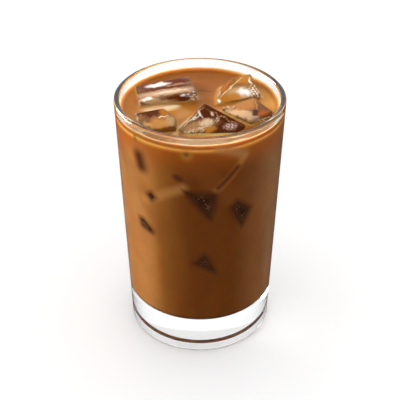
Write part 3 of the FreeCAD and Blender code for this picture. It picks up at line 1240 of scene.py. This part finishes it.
        # Painted highlight: bright amber along the waterline, from 3 mm under the level upwards.
        shade = lay(shade, "#FFC45C", ease(-3.0 * MM, -1.2 * MM, above) * 0.95)
        # Painted reflection: the open top is lighter towards the front, with wavy paler marks
        # that also grow towards the front.
        top = lay("#96540C", "#A66A28", ease(26 * MM, -18 * MM, y))
        top = lay(top, "#A97A4A", ease(0.55, 1.0, halo) * 0.45 * ease(20 * MM, -10 * MM, y))
        for top_mark in TOP_MARKS_AND_PAINTED_LIGHT:
            top = lay(top, top_mark.colour, top_mark.weight(x / MM, y / MM, np.zeros(len(x))))
        shade = lay(shade, top, inside)
        climb = ease(3.4 * MM, 0.3 * MM, wall) * ease(-1.5 * MM, 0, above)
        shade = lay(shade, "#8C4702", climb * 0.9)
        shade = lay(shade, "#C08038", climb * ease(0.35 * MM, 1.1 * MM, above))
        shade = lay(shade, "#EBCFA6", climb * ease(1.1 * MM, 1.9 * MM, above))
        # Painted shade: dark where the coffee's floor rounds up into the wall, in its lowest 2.4
        # mm.
        shade = lay(shade, "#2E1604", ease(2.4 * MM, 1.0 * MM, z - self.tumbler.base)
                    * ease(-0.2 * MM, 0.3 * MM, z - self.tumbler.base) * 0.9)
        # Painted light and shade: the streaks.
        for streak in self.streaks:
            shade = streak.lay_on(shade, points, angle, wall)
        for block in self.blocks:
            gap = block.gap(points)
            if block.sunk:
                # Painted shade: darker coffee round each sunk block.
                near = ease(3.6 * MM, 0.0, gap)
                shade = lay(shade, "#5A2E0C", near * 0.8)
            else:
                near = ease(1.7 * MM, 0.3 * MM, gap) * ease(-2 * MM, -0.2 * MM, above)
                shade = lay(shade, "#B9803F", near * 0.8)
                # The coffee lining each floating block's hollow takes its listed cavity colour;
                # the dark one under ice_middle is painted shade of deep coffee seen through the
                # ice.
                shade = lay(shade, block.cavity, ease(0.12 * MM, 0.0, gap))
        return np.concatenate([shade, np.ones((len(points), 1))], axis=1)

    def dress(self, piece: bpy.types.Object) -> None:
        """Two finishes: against the glass, and open to the air or the ice."""
        mesh = piece.data
        points = mesh_points(mesh)
        set_colours(mesh, TINT, self.tint(points))
        mesh.materials.clear()
        mesh.materials.append(MilkyCoffee("milky_coffee_in_glass", 0.5, 1.34 / 1.5,
                                          wets_glass=True).make())
        mesh.materials.append(MilkyCoffee("milky_coffee_open", 0.12, 1.34).make())
        centre = np.empty(len(mesh.polygons) * 3)
        mesh.polygons.foreach_get("center", centre)
        centre = centre.reshape(-1, 3)
        radius = np.hypot(centre[:, 0], centre[:, 1])
        t = self.tumbler
        skin = t.bore(centre[:, 2]) + self.bite - radius < self.skin
        skin |= centre[:, 2] < t.base + t.floor_round
        mesh.polygons.foreach_set("material_index", np.where(skin, 0, 1).astype("i4"))
        mesh.shade_smooth()
        mesh.set_sharp_from_angle(angle=math.radians(self.crease))
        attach(piece, BODY)
        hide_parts("coffee")


# --------------------------------------------------------------------------- the studio


@dataclass
class Studio:
    """Pale floor, soft lights and the camera."""

    target: float = 71.8 * MM
    distance: float = 520.0 * MM
    elevation: float = 34.15
    lens: float = 88.94
    gap: float = 0.05 * MM
    board_half: float = 8.0
    key_azimuth: float = -113.0
    key_elevation: float = 11.0
    key_away: float = 0.8
    key_size: tuple[float, float] = (0.5, 0.7)
    key_power: float = 19.0
    horizon: float = 0.72
    horizon_at: float = 0.10
    overhead: float = 1.0
    overhead_at: float = 0.40
    sky_strength: float = 1.2
    bounces: int = 24

    def floor(self) -> bpy.types.Object:
        """A wide matt white floor, a hair below the foot so that air lies between them."""
        side, down = self.board_half, -self.gap
        points = np.array([[-side, -side, down], [side, -side, down], [side, side, down],
                           [-side, side, down]])
        piece = mesh_object("floor", points, [[0, 1, 2, 3]], smooth=False)
        piece.data.materials.append(PaleBoard().make())
        return piece

    def light(self, name: str, azimuth: float, elevation: float, away: float,
              size: tuple[float, float], power: float,
              skips: bpy.types.Object | None = None) -> None:
        """A white area light aimed at the middle of the glass.

        Args:
            name: the light's name.
            azimuth: degrees round from the front, towards the right.
            elevation: degrees above the floor.
            away: distance from the middle of the glass.
            size: width and height.
            power: watts.
            skips: an object that this light leaves alone.
        """
        lamp = bpy.data.lights.new(name, "AREA")
        lamp.shape = "RECTANGLE"
        lamp.size, lamp.size_y = size
        lamp.energy = power
        item = bpy.data.objects.new(name, lamp)
        way = Vector(heading(azimuth, elevation))
        item.location = Vector((0, 0, self.target)) + way * away
        item.rotation_euler = way.to_track_quat("Z", "Y").to_euler()
        bpy.context.scene.collection.objects.link(item)
        if skips:
            unlit = bpy.data.collections.new("not_lit_by_" + name)
            unlit.objects.link(skips)
            unlit.collection_objects[0].light_linking.link_state = "EXCLUDE"
            item.light_linking.receiver_collection = unlit

    def world(self) -> None:
        """Light from all round: bright above, greyer towards the horizon."""
        world = bpy.data.worlds.new("studio")
        world.use_nodes = True
        tree = world.node_tree
        tree.nodes.clear()
        place = add_node(tree, "ShaderNodeTexCoord")
        parts = add_node(tree, "ShaderNodeSeparateXYZ", {0: place.outputs["Generated"]})
        ramp = add_node(tree, "ShaderNodeValToRGB", {"Fac": parts.outputs["Z"]})
        stops = ((self.horizon, self.horizon_at), (self.overhead, self.overhead_at))
        for stop, (grey, place_up) in zip(ramp.color_ramp.elements, stops):
            stop.color = (grey, grey, grey, 1)
            stop.position = place_up
        back = add_node(tree, "ShaderNodeBackground", {"Color": ramp.outputs[0]},
                        {"Strength": self.sky_strength})
        add_node(tree, "ShaderNodeOutputWorld", {"Surface": back.outputs[0]})
        bpy.context.scene.world = world

    def camera(self) -> None:
        """The camera in front, looking down at the glass."""
        lens = bpy.data.cameras.new("camera")
        lens.lens = self.lens
        lens.sensor_width = 36.0
        item = bpy.data.objects.new("camera", lens)
        e = math.radians(self.elevation)
        way = Vector((0, -math.cos(e), math.sin(e)))
        item.location = Vector((0, 0, self.target)) + way * self.distance
        item.rotation_euler = way.to_track_quat("Z", "Y").to_euler()
        bpy.context.scene.collection.objects.link(item)
        bpy.context.scene.camera = item

    def build(self) -> None:
        """Floor, lights, world and camera."""
        board = self.floor()
        self.light("key", self.key_azimuth, self.key_elevation, self.key_away, self.key_size,
                   self.key_power, skips=board)
        self.world()
        self.camera()
        scene = bpy.context.scene
        scene.view_settings.view_transform = "Standard"
        scene.cycles.max_bounces = self.bounces
        scene.cycles.transmission_bounces = self.bounces


# --------------------------------------------------------------------------- main


def main() -> None:
    """Builds the pieces in order and reports each."""
    logging.basicConfig(level=logging.INFO, format="%(message)s")
    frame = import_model()
    low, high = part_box("glass")
    tumbler = Tumbler(low, high)
    glass = tumbler.build()
    tumbler.dress(glass)
    LOG.info("tumbler: %d faces", len(glass.data.polygons))

    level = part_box("coffee")[1].z
    ice = Ice(tumbler, level)
    blocks = ice.shape(frame["nodes"])
    ice.dress(ice.build())

    coffee = Coffee(tumbler, level, blocks)
    body = coffee.build()
    coffee.cut(body)
    coffee.dress(body)
    LOG.info("milky_coffee: %d faces", len(body.data.polygons))

    foam = Foam([block for block in blocks if not block.sunk], level)
    bubbles = foam.build()
    foam.dress(bubbles)
    LOG.info("foam_bubbles: %d faces", len(bubbles.data.polygons))

    Studio().build()


if __name__ == "__main__":
    main()
